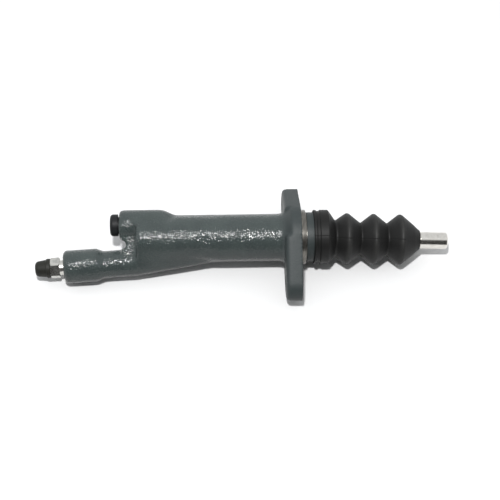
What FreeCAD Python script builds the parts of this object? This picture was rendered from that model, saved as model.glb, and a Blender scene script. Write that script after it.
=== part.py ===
"""Clutch slave cylinder with a rubber boot, an in-line bleed arm and a two-eared mounting flange.

Millimetres. The origin is on the bore axis at the flange's mounting face, +X runs out along the
pushrod, Y runs along the line of the two bolt holes, and +Z is up.
"""
import FreeCAD
import Part
import Sketcher
import math
import os
import re

V = FreeCAD.Vector

SIZES = {
    # Barrel and bore
    "barrel_dia": 28.0,
    "barrel_length": 96.6,
    "bore_dia": 20.64,
    "end_wall": 4.6,
    "relief_dia": 22.6,
    "relief_width": 5.0,
    # Flange and ears
    "collar_proud": 5.4,
    "collar_thickness": 6.6,
    "collar_fillet": 4.0,
    "ear_thickness": 9.6,
    "ear_end_dia": 20.0,
    "ear_round": 2.0,
    "bolt_spacing": 57.0,
    "bolt_drop": 7.0,
    "bolt_hole_dia": 8.5,
    # Spigot and snout
    "spigot_dia": 32.0,
    "spigot_length": 2.8,
    "spigot_groove_dia": 28.0,
    "spigot_groove_width": 0.6,
    "snout_dia": 29.0,
    "snout_length": 14.6,
    "boot_groove_dia": 26.4,
    "boot_groove_start": 9.0,
    "boot_groove_width": 3.6,
    "mouth_chamfer": 1.2,
    # Fluid port boss
    "port_tilt": 34.6,
    "port_offset": 8.5,
    "port_boss_dia": 18.0,
    "port_boss_reach": 10.1,
    "port_boss_run": 15.4,
    "port_boss_slope": 7.6,
    "boss_crest_round": 4.0,
    "boss_foot_round": 2.0,
    "port_thread_dia": 10.0,
    "port_thread_depth": 11.0,
    "port_drill_dia": 4.0,
    # Bleed arm
    "arm_slope": 3.0,
    "arm_offset": 13.5,
    "arm_dia": 16.0,
    "arm_reach": 43.0,
    "arm_head_dia": 19.6,
    "arm_head_length": 19.6,
    "arm_shoulder": 4.0,
    "fairing_length": 46.6,
    "fairing_proud": 0.1,
    "web_thickness": 13.0,
    "web_reach": 6.2,
    "notch_round": 2.4,
    "web_round": 1.5,
    "shoulder_round": 3.0,
    "cast_round": 1.6,
    # Bleed screw
    "screw_thread_dia": 10.0,
    "screw_thread_length": 17.0,
    "screw_tip_dia": 2.4,
    "screw_relief_dia": 8.2,
    "screw_relief_length": 5.0,
    "screw_cross_hole_dia": 1.8,
    "screw_hex_turn": 17.0,
    "screw_hex_chamfer": 0.7,
    "seat_drill_dia": 3.4,
    "screw_neck_dia": 8.9,
    "screw_neck_length": 2.3,
    "screw_flats": 11.0,
    "screw_head_length": 5.3,
    "nipple_dia": 6.4,
    "nipple_waist_dia": 5.2,
    "nipple_length": 7.6,
    "screw_bore_dia": 2.6,
    # Bleed cap
    "cap_skirt_dia": 11.4,
    "cap_base_dia": 10.3,
    "cap_tip_dia": 8.6,
    "cap_skirt_length": 2.6,
    "cap_wall": 1.6,
    "cap_round": 2.2,
    # Port plug
    "plug_head_dia": 13.0,
    "plug_head_length": 4.6,
    "plug_groove_dia": 9.6,
    "plug_groove_width": 0.7,
    "plug_stem_length": 8.0,
    "plug_wall": 1.5,
    "plug_round": 1.9,
    # Piston and seals
    "piston_start": 8.4,
    "piston_land": 4.0,
    "piston_waist_dia": 19.0,
    "piston_waist_length": 18.4,
    "ball_centre": 12.0,
    "seal_groove_start": 19.2,
    "seal_groove_width": 4.2,
    "seal_groove_dia": 15.2,
    "piston_front": 27.0,
    "piston_nose_dia": 7.0,
    "piston_nose_length": 5.4,
    "washer_thickness": 0.8,
    "cup_base": 2.2,
    "cup_lip_length": 3.8,
    "cup_lip": 1.3,
    "cup_hollow_dia": 13.4,
    "seat_thickness": 0.9,
    "seat_dia": 12.6,
    "seat_rim": 1.0,
    # Return spring
    "spring_wire_dia": 1.5,
    "spring_front_dia": 9.4,
    "spring_rear_dia": 16.4,
    "spring_turns": 8.0,
    "spring_steps": 16.0,
    "spring_wire_sides": 8.0,
    # Retaining ring
    "ring_thickness": 1.1,
    "ring_bite": 0.9,
    "ring_width": 2.2,
    "ring_opening": 6.0,
    # Pushrod
    "rod_dia": 10.0,
    "rod_length": 100.0,
    "rod_shank_dia": 9.4,
    "rod_tip_length": 16.4,
    "rod_chamfer": 0.7,
    "rod_droop": 3.6,
    "socket_half_angle": 8.5,
    # Dust boot, along the bore axis for the cuff and from the ball's centre for the bellows
    "cuff_start": 7.5,
    "cuff_length": 8.7,
    "cuff_dia": 31.7,
    "cuff_ridge": 1.6,
    "cuff_recess": 0.6,
    "boot_wall": 1.4,
    "boot_first_valley": 32.4,
    "boot_first_valley_dia": 21.0,
    "boot_valley_dia": 18.9,
    "boot_crest_dia": 31.2,
    "boot_first_crest": 39.6,
    "boot_pitch": 15.9,
    "boot_valley_lead": 8.1,
    "boot_crest_round": 2.0,
    "boot_valley_round": 0.6,
    "boot_shoulder_lead": 8.0,
    "boot_shoulder_dia": 18.4,
    "boot_shoulder_round": 4.0,
    "boot_nose_length": 3.8,
    "boot_lip_dia": 12.4,
    "boot_lip_length": 2.4,
    # Clearances
    "running_clearance": 0.04,
    "socket_clearance": 0.05,
    "thread_clearance": 0.05,
    "soft_clearance": 0.1,
    "face_gap": 0.05,
}

COLLAR_RADIUS = "(barrel_dia / 2 + collar_proud)"
PORT_FRAME = "rotation(vector(1; 0; 0); port_tilt)"
ARM_FRAME = PORT_FRAME + " * rotation(vector(0; 0; 1); 180 + arm_slope)"
ROD_FRAME = "rotation(vector(0; 1; 0); rod_droop)"
FACE_ON = " * rotation(vector(1; 1; 1); 120)"
ROD_PLACE = {"at": ("-ball_centre", "0", "0"), "turn": ROD_FRAME}

doc = FreeCAD.newDocument("slave_cylinder")
sheet = doc.addObject("Spreadsheet::Sheet", "Sizes")
for line, (alias, value) in enumerate(SIZES.items(), start=1):
    sheet.set(f"A{line}", alias)
    sheet.set(f"B{line}", str(value))
    sheet.setAlias(f"B{line}", alias)
doc.recompute()


def tied(words):
    """An expression on the sheet, from words that name its cells."""
    return re.sub(r"[a-z]\w*", lambda m: f"Sizes.{m.group()}" if m.group() in SIZES else m.group(), words)


def size(words):
    """The value in millimetres or degrees that such an expression has now."""
    return float(sheet.evalExpression(tied(words)))


def new_body(name):
    """An empty body whose label names the piece."""
    body = doc.addObject("PartDesign::Body", name)
    body.Label = name
    return body


def new_sketch(body, name, plane="XY_Plane", at=("0", "0", "0"), turn=None):
    """A sketch on one of the body's origin planes, shifted and turned from it by expressions."""
    sketch = body.newObject("Sketcher::SketchObject", name)
    support = next(f for f in body.Origin.OriginFeatures if f.Role == plane)
    sketch.AttachmentSupport = [(support, "")]
    sketch.MapMode = "FlatFace"
    place = f"placement(vector({at[0]}; {at[1]}; {at[2]}); {turn or 'rotation(vector(0; 0; 1); 0)'})"
    sketch.setExpression("AttachmentOffset", tied(place))
    return sketch


def fix(sketch, kind, words, *where):
    """Adds one driving constraint and binds it to an expression."""
    index = sketch.addConstraint(Sketcher.Constraint(kind, *where, size(words)))
    sketch.setExpression(f"Constraints[{index}]", tied(words))


def pin_point(sketch, line, end, along, out):
    """Holds one end of a line at a pair of expressions."""
    for kind, words, axis in (("DistanceX", along, -2), ("DistanceY", out, -1)):
        if words == "0":
            sketch.addConstraint(Sketcher.Constraint("PointOnObject", line, end, axis))
        else:
            fix(sketch, kind, words, -1, 1, line, end)


def outline(sketch, corners):
    """Closes straight runs through the corners, each an (along, out) pair of expressions."""
    points = [V(size(a), size(b), 0) for a, b in corners]
    count = len(points)
    first = sketch.GeometryCount
    for i, start in enumerate(points):
        sketch.addGeometry(Part.LineSegment(start, points[(i + 1) % count]), False)
    for i, (along, out) in enumerate(corners):
        sketch.addConstraint(Sketcher.Constraint("Coincident", first + (i - 1) % count, 2, first + i, 1))
        pin_point(sketch, first + i, 1, along, out)
    return sketch


def settle(feature, grows=None):
    """Rebuilds the document and stops if the feature failed or moved the volume the wrong way."""
    body = feature.getParentGeoFeatureGroup()
    before = body.Shape.Volume if body and not body.Shape.isNull() else 0.0
    doc.recompute()
    bad = {"Invalid", "Error"} & set(feature.State)
    if bad or feature.Shape.isNull() or not feature.Shape.isValid():
        raise RuntimeError(f"{feature.Label} did not build: {feature.State}")
    change = feature.Shape.Volume - before
    if grows is not None and (change <= 0 if grows else change >= 0):
        raise RuntimeError(f"{feature.Label} changed the volume by {change:.1f}")
    return feature


def turned(body, name, sketch, cut=False):
    """Turns a profile about its own long axis, as metal or as a cut."""
    kind = "PartDesign::Groove" if cut else "PartDesign::Revolution"
    feature = body.newObject(kind, name)
    feature.Profile = sketch
    feature.ReferenceAxis = (sketch, ["H_Axis"])
    feature.Angle = 360
    sketch.Visibility = False
    return settle(feature, grows=not cut)


def turn_profile(body, name, corners, cut=False, **frame):
    """A turned feature through the corners, on a sketch of its own."""
    sketch = new_sketch(body, f"{name}_profile", **frame)
    return turned(body, name, outline(sketch, corners), cut)


def round_edges(body, name, radius, wanted):
    """Fillets the tip's edges that the test picks out."""
    tip = body.Tip
    edges = [f"Edge{i}" for i, e in enumerate(tip.Shape.Edges, start=1) if wanted(e)]
    if not edges:
        raise RuntimeError(f"{name} found no edge")
    fillet = body.newObject("PartDesign::Fillet", name)
    fillet.Base = (tip, edges)
    fillet.setExpression("Radius", tied(radius))
    return settle(fillet)


def ring_edge(edge, along, radius, centre=V(0, 0, 0), direction=V(1, 0, 0), slack=0.05):
    """True for a full circle of the given radius, at a distance along an axis."""
    if not isinstance(edge.Curve, Part.Circle):
        return False
    offset = edge.Curve.Center - centre
    along_now = offset.dot(direction)
    aside = (offset - direction * along_now).Length
    return aside < slack and abs(along_now - along) < slack and abs(edge.Curve.Radius - radius) < slack


def flat_edge(edge, along):
    """True for an edge that lies in a plane square to the bore axis, at a distance along it."""
    return edge.BoundBox.XLength < 0.01 and abs(edge.BoundBox.XMin - along) < 0.01


def hull_circles(sketch, radii, offsets):
    """The taut outline round three circles in a column: the top one, the barrel and the bottom one.

    Each circle gives one arc, or two for the barrel, and straight tangents join them.
    """
    top, mid, low = (size(r) for r in radii)
    up, down = size(offsets[0]), size(offsets[1])
    lean_top = math.acos((mid - top) / up)
    lean_low = math.acos((mid - low) / down)
    ends = {
        "top": (V(0, up, 0), top, math.pi / 2 - lean_top, math.pi / 2 + lean_top),
        "left": (V(0, 0, 0), mid, math.pi / 2 + lean_top, 3 * math.pi / 2 - lean_low),
        "low": (V(0, -down, 0), low, 3 * math.pi / 2 - lean_low, 3 * math.pi / 2 + lean_low),
        "right": (V(0, 0, 0), mid, lean_low - math.pi / 2, math.pi / 2 - lean_top),
    }
    arcs = []
    for centre, radius, start, end in ends.values():
        circle = Part.Circle(centre, V(0, 0, 1), radius)
        arcs.append(sketch.addGeometry(Part.ArcOfCircle(circle, start, end), False))
    for one, two in zip(arcs, arcs[1:] + arcs[:1]):
        a = sketch.getPoint(one, 2)
        b = sketch.getPoint(two, 1)
        run = sketch.addGeometry(Part.LineSegment(a, b), False)
        sketch.addConstraint(Sketcher.Constraint("Tangent", one, 2, run, 1))
        sketch.addConstraint(Sketcher.Constraint("Tangent", run, 2, two, 1))
    for arc in (arcs[1], arcs[3]):
        sketch.addConstraint(Sketcher.Constraint("Coincident", arc, 3, -1, 1))
        fix(sketch, "Radius", radii[1], arc)
    for arc, radius, along in ((arcs[0], radii[0], offsets[0]), (arcs[2], radii[2], f"-({offsets[1]})")):
        sketch.addConstraint(Sketcher.Constraint("PointOnObject", arc, 3, -2))
        fix(sketch, "DistanceY", along, -1, 1, arc, 3)
        fix(sketch, "Radius", radius, arc)
    return sketch


def arm_drop(along):
    """How far the arm's axis lies below the bore axis, at a distance in from the barrel's end."""
    return f"(arm_offset - ({along}) * tan(arm_slope))"


def fairing_station(body, name, along, boss_radius):
    """One section of the rear barrel, with its port boss on top and its arm below."""
    share = f"(({along}) / fairing_length)"
    reach = f"((arm_offset + arm_dia / 2) * (1 - {share}) + (barrel_dia / 2 + fairing_proud) * {share})"
    sketch = new_sketch(
        body, name, "YZ_Plane", at=("0", "0", f"-barrel_length + {along}"),
        turn="rotation(vector(0; 0; 1); port_tilt - 90)")
    radii = (boss_radius, "barrel_dia / 2", f"({reach} - {arm_drop(along)})")
    return hull_circles(sketch, radii, ("port_offset", arm_drop(along)))


def build_casting():
    """The iron casting and all its drillings."""
    body = new_body("cylinder_body")
    sunk = "(barrel_dia / 2 + fairing_proud - port_offset)"
    stations = [
        fairing_station(body, "rear_section", "0", "port_boss_dia / 2"),
        fairing_station(body, "boss_section", "port_boss_run", "port_boss_dia / 2"),
        fairing_station(body, "slope_section", "(port_boss_run + port_boss_slope)", sunk),
        fairing_station(body, "front_section", "fairing_length", sunk),
    ]
    doc.recompute()
    fairing = body.newObject("PartDesign::AdditiveLoft", "fairing")
    fairing.Profile = stations[0]
    fairing.Sections = stations[1:]
    fairing.Ruled = True
    settle(fairing, grows=True)

    turn_profile(body, "barrel_and_snout", [
        ("fairing_length - barrel_length", "0"),
        ("fairing_length - barrel_length", "barrel_dia / 2"),
        ("-collar_thickness - collar_fillet", "barrel_dia / 2"),
        ("-collar_thickness", "barrel_dia / 2 + collar_fillet"),
        ("-collar_thickness", COLLAR_RADIUS),
        ("0", COLLAR_RADIUS),
        ("0", "spigot_dia / 2"),
        ("spigot_length", "spigot_dia / 2"),
        ("spigot_length", "spigot_groove_dia / 2"),
        ("spigot_length + spigot_groove_width", "spigot_groove_dia / 2"),
        ("spigot_length + spigot_groove_width", "snout_dia / 2"),
        ("boot_groove_start", "snout_dia / 2"),
        ("boot_groove_start", "boot_groove_dia / 2"),
        ("boot_groove_start + boot_groove_width", "boot_groove_dia / 2"),
        ("boot_groove_start + boot_groove_width", "snout_dia / 2 - mouth_chamfer / 2"),
        ("snout_length - mouth_chamfer / 2", "snout_dia / 2 - mouth_chamfer / 2"),
        ("snout_length", "snout_dia / 2 - mouth_chamfer"),
        ("snout_length", "0"),
    ])

    round_flare(body)
    for name, side in (("far_ear", 1), ("near_ear", -1)):
        build_ear(body, name, side)

    turn_profile(body, "port_boss", [
        ("-barrel_length - port_boss_reach", "0"),
        ("-barrel_length - port_boss_reach", "port_boss_dia / 2"),
        ("port_boss_run / 2 - barrel_length", "port_boss_dia / 2"),
        ("port_boss_run / 2 - barrel_length", "0"),
    ], at=port_origin("0"), turn=PORT_FRAME)

    turn_profile(body, "bleed_arm", [
        ("-fairing_length / 4", "0"),
        ("-fairing_length / 4", "arm_dia / 2 - cast_round"),
        ("0", "arm_dia / 2"),
        ("arm_reach - arm_head_length - arm_shoulder", "arm_dia / 2"),
        ("arm_reach - arm_head_length", "arm_head_dia / 2"),
        ("arm_reach", "arm_head_dia / 2"),
        ("arm_reach", "0"),
    ], **arm_place())

    round_stubs(body)
    web = web_outline(body)
    doc.recompute()
    wall = body.newObject("PartDesign::Pad", "web")
    wall.Profile = web
    wall.SideType = "Symmetric"
    wall.setExpression("Length", tied("web_thickness"))
    settle(wall, grows=True)
    round_casting(body)
    drill_casting(body)
    return body


def round_flare(body):
    """The soft hollow where the barrel swells into the flange's collar, and the collar's rim."""
    back = size("-collar_thickness")
    round_edges(body, "flare_hollow", "collar_fillet", lambda e: ring_edge(
        e, back - size("collar_fillet"), size("barrel_dia / 2")))
    round_edges(body, "collar_rim", "cast_round / 2", lambda e: ring_edge(e, back, size(COLLAR_RADIUS)))


def round_stubs(body):
    """The soft ends of the port boss and the bleed arm, and the soft step from its neck to its head."""
    port = V(0, size("port_offset * cos(port_tilt)"), size("port_offset * sin(port_tilt)"))
    round_edges(body, "boss_corner", "cast_round", lambda e: ring_edge(
        e, size("-barrel_length - port_boss_reach"), size("port_boss_dia / 2"), port))
    place = V(*(size(words) for words in arm_place()["at"]))
    round_edges(body, "arm_corner", "cast_round * 1.5", lambda e: ring_edge(
        e, size("arm_reach"), size("arm_head_dia / 2"), place, arm_direction()))
    neck = size("arm_reach - arm_head_length - arm_shoulder")
    round_edges(body, "neck_hollow", "shoulder_round", lambda e: ring_edge(
        e, neck, size("arm_dia / 2"), place, arm_direction()))
    round_edges(body, "head_shoulder", "shoulder_round", lambda e: ring_edge(
        e, size("arm_reach - arm_head_length"), size("arm_head_dia / 2"), place, arm_direction()))


def round_casting(body):
    """The soft rims of the ears, of the port boss's slope and of the web's notch."""
    back = size("-ear_thickness")
    root = size(f"{COLLAR_RADIUS} - cast_round")
    round_edges(body, "ear_rims", "ear_round", lambda e: flat_edge(e, back) and abs(e.CenterOfMass.y) > root)
    port = V(0, size("port_offset * cos(port_tilt)"), size("port_offset * sin(port_tilt)"))
    crest = size("port_boss_run - barrel_length")
    round_edges(body, "boss_crest", "boss_crest_round", lambda e: ring_edge(
        e, crest, size("port_boss_dia / 2"), port))
    foot = crest + size("port_boss_slope")
    round_edges(body, "boss_foot", "boss_foot_round", lambda e: flat_edge(
        e, foot) and e.CenterOfMass.dot(port) > 0 and e.CenterOfMass.z > size("barrel_dia / 8"))
    notch = size("-barrel_length - web_reach - notch_round")
    round_edges(body, "notch_rims", "web_round", lambda e: isinstance(e.Curve, Part.Circle) and abs(
        e.Curve.Center.x - notch) < 0.05 and abs(e.Curve.Radius - size("notch_round")) < 0.05)


def web_outline(body):
    """The web between boss and arm, with a round-bottomed notch in its free edge."""
    sketch = new_sketch(body, "web_outline", turn=PORT_FRAME)
    edge = "(-barrel_length - web_reach - notch_round)"
    middle = "((port_offset - port_boss_dia / 2 - arm_offset + arm_dia / 2) / 2)"
    corners = [
        (edge, f"{middle} - notch_round"), (edge, "-arm_offset"), ("-barrel_length + end_wall", "-arm_offset"),
        ("-barrel_length + end_wall", "port_offset"), (edge, "port_offset"), (edge, f"{middle} + notch_round"),
    ]
    points = [V(size(a), size(b), 0) for a, b in corners]
    runs = [sketch.addGeometry(Part.LineSegment(a, b), False) for a, b in zip(points, points[1:])]
    for run, after in zip(runs, runs[1:]):
        sketch.addConstraint(Sketcher.Constraint("Coincident", run, 2, after, 1))
    for run, corner in zip(runs, corners):
        pin_point(sketch, run, 1, *corner)
    pin_point(sketch, runs[-1], 2, *corners[-1])
    centre = V(size(edge), size(middle), 0)
    circle = Part.Circle(centre, V(0, 0, 1), size("notch_round"))
    notch = sketch.addGeometry(Part.ArcOfCircle(circle, -math.pi / 2, math.pi / 2), False)
    sketch.addConstraint(Sketcher.Constraint("Coincident", notch, 1, runs[0], 1))
    sketch.addConstraint(Sketcher.Constraint("Coincident", notch, 2, runs[-1], 2))
    sketch.addConstraint(Sketcher.Constraint("Vertical", notch, 3, notch, 1))
    return sketch


def port_origin(along):
    """A point on the port's axis, which runs beside the bore on the tilted plane."""
    return (along, "port_offset * cos(port_tilt)", "port_offset * sin(port_tilt)")


def arm_place(reach="0"):
    """Frame of the bleed arm: it starts below the barrel's end and runs out along the arm."""
    along = f"-barrel_length - ({reach}) * cos(arm_slope)"
    below = f"-(arm_offset + ({reach}) * sin(arm_slope))"
    return {
        "at": (along, f"{below} * cos(port_tilt)", f"{below} * sin(port_tilt)"),
        "turn": ARM_FRAME,
    }


def build_ear(body, name, side):
    """One bolt ear: a round end and two flanks that run tangent to the collar."""
    sketch = new_sketch(body, f"{name}_outline", "YZ_Plane")
    hole = V(side * size("bolt_spacing / 2"), -size("bolt_drop"), 0)
    lean = math.atan2(hole.y, hole.x)
    spread = math.acos((size(COLLAR_RADIUS) - size("ear_end_dia / 2")) / hole.Length)
    circle = Part.Circle(hole, V(0, 0, 1), size("ear_end_dia / 2"))
    tip = sketch.addGeometry(Part.ArcOfCircle(circle, lean - spread, lean + spread), False)
    collar = sketch.addGeometry(Part.Circle(V(0, 0, 0), V(0, 0, 1), size(COLLAR_RADIUS)), True)
    sketch.addConstraint(Sketcher.Constraint("Coincident", collar, 3, -1, 1))
    fix(sketch, "Radius", COLLAR_RADIUS, collar)
    fix(sketch, "Radius", "ear_end_dia / 2", tip)
    fix(sketch, "DistanceX", f"{side} * bolt_spacing / 2", -1, 1, tip, 3)
    fix(sketch, "DistanceY", "-bolt_drop", -1, 1, tip, 3)
    for end, turn in ((1, lean - spread), (2, lean + spread)):
        touch = V(math.cos(turn), math.sin(turn), 0) * size(COLLAR_RADIUS)
        flank = sketch.addGeometry(Part.LineSegment(sketch.getPoint(tip, end), touch), False)
        root = sketch.addGeometry(Part.LineSegment(touch, V(0, 0, 0)), False)
        sketch.addConstraint(Sketcher.Constraint("Tangent", tip, end, flank, 1))
        sketch.addConstraint(Sketcher.Constraint("Tangent", flank, 2, collar))
        sketch.addConstraint(Sketcher.Constraint("Coincident", flank, 2, root, 1))
        sketch.addConstraint(Sketcher.Constraint("Coincident", root, 2, -1, 1))
    doc.recompute()
    pad = body.newObject("PartDesign::Pad", name)
    pad.Profile = sketch
    pad.Reversed = True
    pad.setExpression("Length", tied("ear_thickness"))
    settle(pad, grows=True)


def cut_profile(body, name, corners, **frame):
    """A turned cut through the corners."""
    return turn_profile(body, name, corners, cut=True, **frame)


def drill_casting(body):
    """The bore, the two threaded ports with their passages, and the bolt holes."""
    cut_profile(body, "bore", [
        ("end_wall - barrel_length", "0"),
        ("end_wall - barrel_length", "relief_dia / 2"),
        ("end_wall - barrel_length + relief_width", "relief_dia / 2"),
        ("end_wall - barrel_length + relief_width + relief_dia / 2 - bore_dia / 2", "bore_dia / 2"),
        ("snout_length - mouth_chamfer", "bore_dia / 2"),
        ("snout_length", "bore_dia / 2 + mouth_chamfer"),
        ("snout_length + mouth_chamfer", "bore_dia / 2 + mouth_chamfer"),
        ("snout_length + mouth_chamfer", "0"),
    ])
    cut_profile(body, "ring_groove", [
        ("piston_start + face_gap", "0"),
        ("piston_start + face_gap", "bore_dia / 2 + ring_bite"),
        ("piston_start + ring_thickness + 3 * face_gap", "bore_dia / 2 + ring_bite"),
        ("piston_start + ring_thickness + 3 * face_gap", "0"),
    ])
    face = "-barrel_length - port_boss_reach"
    cut_profile(body, "port_drilling", [
        (f"{face} - cast_round", "0"),
        (f"{face} - cast_round", "port_thread_dia / 2 + 0.8"),
        (face, "port_thread_dia / 2 + 0.8"),
        (f"{face} + 0.8", "port_thread_dia / 2"),
        (f"{face} + port_thread_depth", "port_thread_dia / 2"),
        (f"{face} + port_thread_depth", "port_drill_dia / 2"),
        ("end_wall - barrel_length + relief_width / 2", "port_drill_dia / 2"),
        ("end_wall - barrel_length + relief_width / 2", "0"),
    ], at=port_origin("0"), turn=PORT_FRAME)
    seat = "(arm_reach - screw_thread_length)"
    cut_profile(body, "bleed_drilling", [
        ("-end_wall - relief_width / 2", "0"),
        ("-end_wall - relief_width / 2", "seat_drill_dia / 2"),
        (f"{seat} - screw_thread_dia / 2 + seat_drill_dia / 2", "seat_drill_dia / 2"),
        (seat, "screw_thread_dia / 2 + thread_clearance"),
        ("arm_reach", "screw_thread_dia / 2 + thread_clearance"),
        ("arm_reach + cast_round", "screw_thread_dia / 2 + thread_clearance"),
        ("arm_reach + cast_round", "0"),
    ], **arm_place())
    holes = new_sketch(body, "bolt_hole_centres", "YZ_Plane")
    for side in (1, -1):
        circle = Part.Circle(V(side * size("bolt_spacing / 2"), -size("bolt_drop"), 0), V(0, 0, 1), 1)
        hole = holes.addGeometry(circle, False)
        fix(holes, "DistanceX", f"{side} * bolt_spacing / 2", -1, 1, hole, 3)
        fix(holes, "DistanceY", "-bolt_drop", -1, 1, hole, 3)
        fix(holes, "Diameter", "bolt_hole_dia", hole)
    doc.recompute()
    pocket = body.newObject("PartDesign::Pocket", "bolt_holes")
    pocket.Profile = holes
    pocket.SideType = "Symmetric"
    pocket.Type = "ThroughAll"
    settle(pocket, grows=False)


def ball_outline(sketch, radius, corners):
    """A quarter round about the sketch's origin, closed by straight runs through the corners."""
    r = size(radius)
    quarter = Part.ArcOfCircle(Part.Circle(V(0, 0, 0), V(0, 0, 1), r), math.pi / 2, math.pi)
    arc = sketch.addGeometry(quarter, False)
    sketch.addConstraint(Sketcher.Constraint("Coincident", arc, 3, -1, 1))
    sketch.addConstraint(Sketcher.Constraint("PointOnObject", arc, 1, -2))
    sketch.addConstraint(Sketcher.Constraint("PointOnObject", arc, 2, -1))
    fix(sketch, "Radius", radius, arc)
    points = [V(0, r, 0)] + [V(size(a), size(b), 0) for a, b in corners] + [V(-r, 0, 0)]
    runs = [sketch.addGeometry(Part.LineSegment(a, b), False) for a, b in zip(points, points[1:])]
    sketch.addConstraint(Sketcher.Constraint("Coincident", arc, 1, runs[0], 1))
    for run, after, (along, out) in zip(runs, runs[1:], corners):
        sketch.addConstraint(Sketcher.Constraint("Coincident", run, 2, after, 1))
        pin_point(sketch, after, 1, along, out)
    sketch.addConstraint(Sketcher.Constraint("Coincident", runs[-1], 2, arc, 2))
    return sketch


def build_piston():
    """The piston, with a deep socket for the rod and a nose that carries the pressure seal."""
    body = new_body("piston")
    r = "(bore_dia / 2 - running_clearance)"
    waist = "(piston_start - piston_land)"
    turn_profile(body, "piston_turning", [
        ("piston_start", "0"),
        ("piston_start", r),
        (waist, r),
        (waist, "piston_waist_dia / 2"),
        (f"{waist} - piston_waist_length", "piston_waist_dia / 2"),
        (f"{waist} - piston_waist_length", r),
        ("-seal_groove_start", r),
        ("-seal_groove_start", "seal_groove_dia / 2"),
        ("-seal_groove_start - seal_groove_width", "seal_groove_dia / 2"),
        ("-seal_groove_start - seal_groove_width", r),
        ("-piston_front", r),
        ("-piston_front", "piston_nose_dia / 2"),
        ("-piston_front - piston_nose_length", "piston_nose_dia / 2"),
        ("-piston_front - piston_nose_length", "0"),
    ])
    mouth = "(piston_start + ball_centre)"
    socket = "(rod_dia / 2 + socket_clearance)"
    sketch = new_sketch(body, "socket_profile", at=("-ball_centre", "0", "0"))
    ball_outline(sketch, socket, [
        (mouth, f"{socket} + {mouth} * tan(socket_half_angle)"),
        (mouth, "0"),
    ])
    turned(body, "socket", sketch, cut=True)
    return body


def build_cup_washer():
    """The thin disc that keeps the pressure seal off the piston's edge."""
    body = new_body("cup_washer")
    near = "(-piston_front - face_gap)"
    turn_profile(body, "washer_disc", [
        (near, "piston_nose_dia / 2 + running_clearance"),
        (near, "bore_dia / 2 - 2 * running_clearance"),
        (f"{near} - washer_thickness", "bore_dia / 2 - 2 * running_clearance"),
        (f"{near} - washer_thickness", "piston_nose_dia / 2 + running_clearance"),
    ])
    return body


def lip_seal(name, near, hole, base, lip_length, hollow):
    """A rubber cup whose lips point away from the rod, from the face nearest the rod."""
    body = new_body(name)
    far = f"({near} - {base} - {lip_length})"
    outer = "(bore_dia / 2 - running_clearance)"
    turn_profile(body, f"{name}_section", [
        (near, hole),
        (near, f"{outer} - cup_lip / 2"),
        (f"{near} - {base} / 2", f"{outer} - cup_lip / 4"),
        (far, outer),
        (far, f"{outer} - cup_lip"),
        (f"{near} - {base}", hollow),
        (f"{near} - {base}", hole),
    ])
    return body


def build_seals():
    """The pressure cup on the piston's nose and the second cup in its groove."""
    near = "(-piston_front - washer_thickness - 2 * face_gap)"
    bite = "(piston_nose_dia / 2 + running_clearance)"
    front = lip_seal("primary_cup", near, bite, "cup_base", "cup_lip_length", "cup_hollow_dia / 2")
    groove = "(-seal_groove_start - face_gap)"
    depth = "(seal_groove_width - 2 * face_gap)"
    floor = "(seal_groove_dia / 2 + running_clearance)"
    rear = lip_seal(
        "secondary_cup", groove, floor, f"({depth} / 2)", f"({depth} / 2)", f"({floor} + cup_lip / 2)")
    return [front, rear]


def build_spring_seat():
    """The small dished disc between the spring and the pressure cup."""
    body = new_body("spring_seat")
    near = "(-piston_front - washer_thickness - cup_base - 3 * face_gap)"
    hole = "(piston_nose_dia / 2 + running_clearance)"
    turn_profile(body, "seat_disc", [
        (near, hole),
        (near, "seat_dia / 2 - seat_thickness / 2"),
        (f"{near} - seat_thickness / 2", "seat_dia / 2"),
        (f"{near} - seat_thickness - seat_rim", "seat_dia / 2"),
        (f"{near} - seat_thickness - seat_rim", "seat_dia / 2 - seat_thickness / 2"),
        (f"{near} - seat_thickness", "seat_dia / 2 - seat_thickness / 2"),
        (f"{near} - seat_thickness", hole),
    ])
    return body


def build_return_spring():
    """The conical spring between the seat and the bore's floor, with a closed turn at each end."""
    feature = doc.addObject("Part::Feature", "return_spring")
    feature.Label = "return_spring"
    wire = size("spring_wire_dia / 2")
    front = size("-piston_front - washer_thickness - cup_base - seat_thickness - 4 * face_gap") - wire
    rear = size("end_wall - barrel_length + face_gap") + wire
    turns = size("spring_turns")
    steps = round(turns * size("spring_steps"))

    def coil_point(k):
        """A point on the wire's centre line: the end turns lie flat and the rest share the length."""
        turn = turns * k / steps
        closed = min(turn, 1.0) + max(turn - turns + 1.0, 0.0)
        open_share = (turn - closed) / (turns - 2.0)
        span = rear - front + 4 * wire
        along = front - 2 * wire * closed + span * open_share
        radius = size("spring_front_dia / 2") * (1 - k / steps) + size("spring_rear_dia / 2") * k / steps
        angle = 2 * math.pi * turn
        return V(along, radius * math.cos(angle), radius * math.sin(angle))

    points = [coil_point(k) for k in range(steps + 1)]
    ahead = (points[1] - points[0]).normalize()
    side = ahead.cross(V(1, 0, 0)).normalize()
    up = side.cross(ahead)
    sides = round(size("spring_wire_sides"))
    corners = [2 * math.pi * i / sides for i in range(sides + 1)]
    section = Part.makePolygon([
        points[0] + side * wire * math.cos(c) + up * wire * math.sin(c) for c in corners])
    shell = Part.BRepOffsetAPI.MakePipeShell(Part.makePolygon(points))
    shell.setTransitionMode(1)
    shell.add(section)
    shell.build()
    shell.makeSolid()
    feature.Shape = shell.shape()
    return feature


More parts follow.
